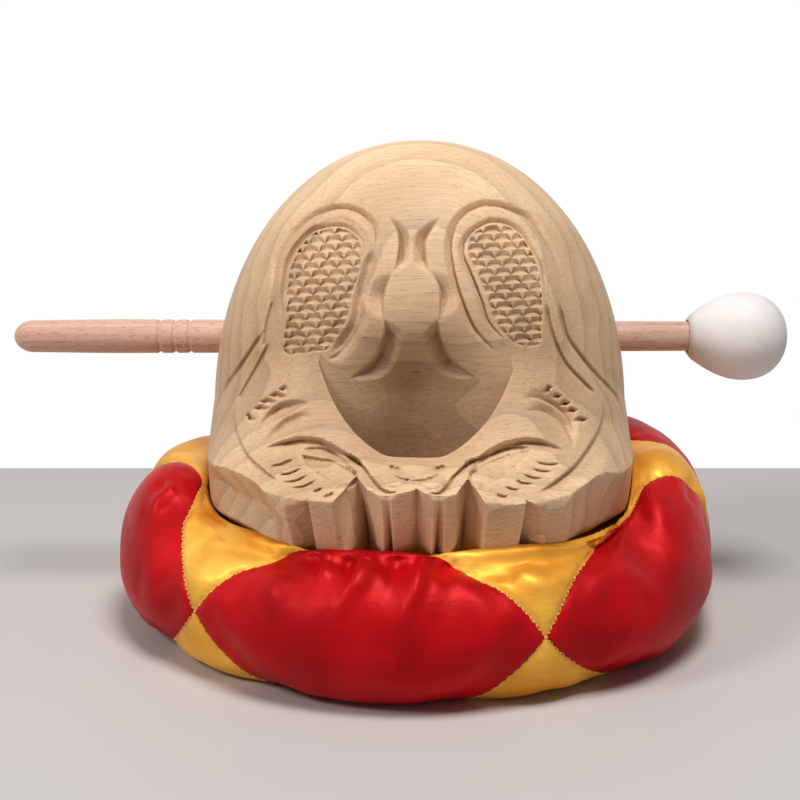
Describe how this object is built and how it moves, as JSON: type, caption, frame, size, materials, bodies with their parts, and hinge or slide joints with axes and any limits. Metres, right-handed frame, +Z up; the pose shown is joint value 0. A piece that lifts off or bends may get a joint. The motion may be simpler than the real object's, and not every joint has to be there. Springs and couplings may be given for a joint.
{
  "type": "wooden fish drum",
  "caption": "Carved wooden fish drum with a carrying loop and a sound slit, lying in a round patchwork satin cushion, with its rubber-headed striker stored through it.",
  "frame": {"origin": "middle of the cushion's flat underside, on the surface that the part stands on", "axes": "+X along the striker towards its rubber head, -Y towards the carved front, +Z up"},
  "size_m": [0.282, 0.214, 0.168],
  "materials": {
    "camphor_wood": "carved and sanded bare wood, satin",
    "beech_wood": "turned and fine sanded, bare",
    "white_rubber": "moulded, matte",
    "red_satin": "woven satin, glossy",
    "gold_satin": "woven satin, glossy",
    "cushion_fill": "loose fibre filling"
  },
  "bodies": {
    "cushion": {"stuffing": "cushion_fill", "red_panel_1": "red_satin", "red_panel_2": "red_satin", "red_panel_3": "red_satin", "red_panel_4": "red_satin", "red_panel_5": "red_satin", "red_panel_6": "red_satin", "gold_top_panel_1": "gold_satin", "gold_top_panel_2": "gold_satin", "gold_top_panel_3": "gold_satin", "gold_top_panel_4": "gold_satin", "gold_top_panel_5": "gold_satin", "gold_top_panel_6": "gold_satin", "gold_base_panel_1": "gold_satin", "gold_base_panel_2": "gold_satin", "gold_base_panel_3": "gold_satin", "gold_base_panel_4": "gold_satin", "gold_base_panel_5": "gold_satin", "gold_base_panel_6": "gold_satin"},
    "fish": {"fish_body": "camphor_wood"},
    "striker": {"striker_stick": "beech_wood", "striker_head": "white_rubber"}
  },
  "joints": [
    {"name": "fish_lift", "type": "slide", "parent": "cushion", "child": "fish", "axis": [0, 0, 1], "range_m": [0, 0.12]},
    {"name": "striker_draw", "type": "slide", "parent": "fish", "child": "striker", "axis": [1, 0, 0], "range_m": [-0.022, 0.222]}
  ]
}
